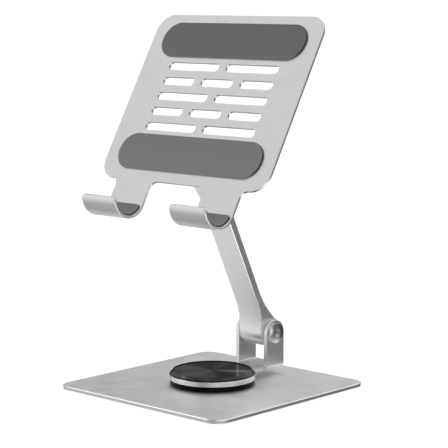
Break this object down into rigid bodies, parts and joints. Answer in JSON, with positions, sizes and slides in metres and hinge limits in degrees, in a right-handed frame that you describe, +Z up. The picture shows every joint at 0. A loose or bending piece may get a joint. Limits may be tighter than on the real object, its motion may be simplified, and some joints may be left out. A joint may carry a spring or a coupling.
{
  "type": "tablet stand",
  "caption": "Folding desk stand: square base with a swivel disc, friction-hinged arm and a slotted tilting panel with padded hooks that hold a tablet.",
  "frame": {"origin": "middle of the base's footprint, on the surface it stands on", "axes": "+Z up, the panel and its hooks face -Y, +X to the right seen from the front, both pivots run along X"},
  "size_m": [0.1216, 0.12, 0.2025],
  "materials": {
    "satin_plate": "satin silver coat on steel",
    "satin_metal": "bead-blasted and anodised silver",
    "brushed_ring": "turned, circular brush marks",
    "polished_steel": "polished",
    "zinc_screw": "zinc plated",
    "gloss_black": "gloss moulded",
    "patterned_inlay": "dark disc with a radial sheen under gloss lacquer",
    "black_disc": "fine matt moulded",
    "bearing_plastic": "natural acetal",
    "anti_slip_silicone": "matt",
    "grey_silicone": "matt dark grey"
  },
  "bodies": {
    "base": {"base_plate": "satin_plate", "anti_slip_sheet": "anti_slip_silicone", "swivel_lower_disc": "black_disc", "swivel_disc_screws": "zinc_screw", "swivel_bearing_washer": "bearing_plastic", "swivel_rivet": "polished_steel"},
    "turntable": {"yoke": "satin_metal", "swivel_retaining_washer": "zinc_screw", "swivel_ring": "brushed_ring", "swivel_cover": "gloss_black", "swivel_inlay": "patterned_inlay", "lower_pivot_screw": "polished_steel", "lower_pivot_nut": "polished_steel", "lower_friction_washers": "bearing_plastic", "lower_disc_springs": "zinc_screw"},
    "arm": {"arm": "satin_metal", "lower_bush": "bearing_plastic", "upper_bush": "bearing_plastic"},
    "panel": {"panel_plate": "satin_metal", "panel_bracket": "satin_metal", "bracket_screws": "zinc_screw", "upper_pad": "grey_silicone", "lower_pad": "grey_silicone", "hook_pad_left": "grey_silicone", "hook_pad_right": "grey_silicone", "upper_pivot_screw": "polished_steel", "upper_pivot_nut": "polished_steel", "upper_friction_washers": "bearing_plastic", "upper_disc_springs": "zinc_screw"}
  },
  "joints": [
    {"name": "base_swivel", "type": "hinge", "parent": "base", "child": "turntable", "pos_m": [0, 0, 0.006], "axis": [0, 0, 1], "continuous": true},
    {"name": "arm_tilt", "type": "hinge", "parent": "turntable", "child": "arm", "pos_m": [0, 0.0391, 0.0265], "axis": [1, 0, 0], "range_deg": [-60, 45]},
    {"name": "panel_tilt", "type": "hinge", "parent": "arm", "child": "panel", "pos_m": [0, -0.00712, 0.12211], "axis": [1, 0, 0], "range_deg": [-115, 55]}
  ]
}
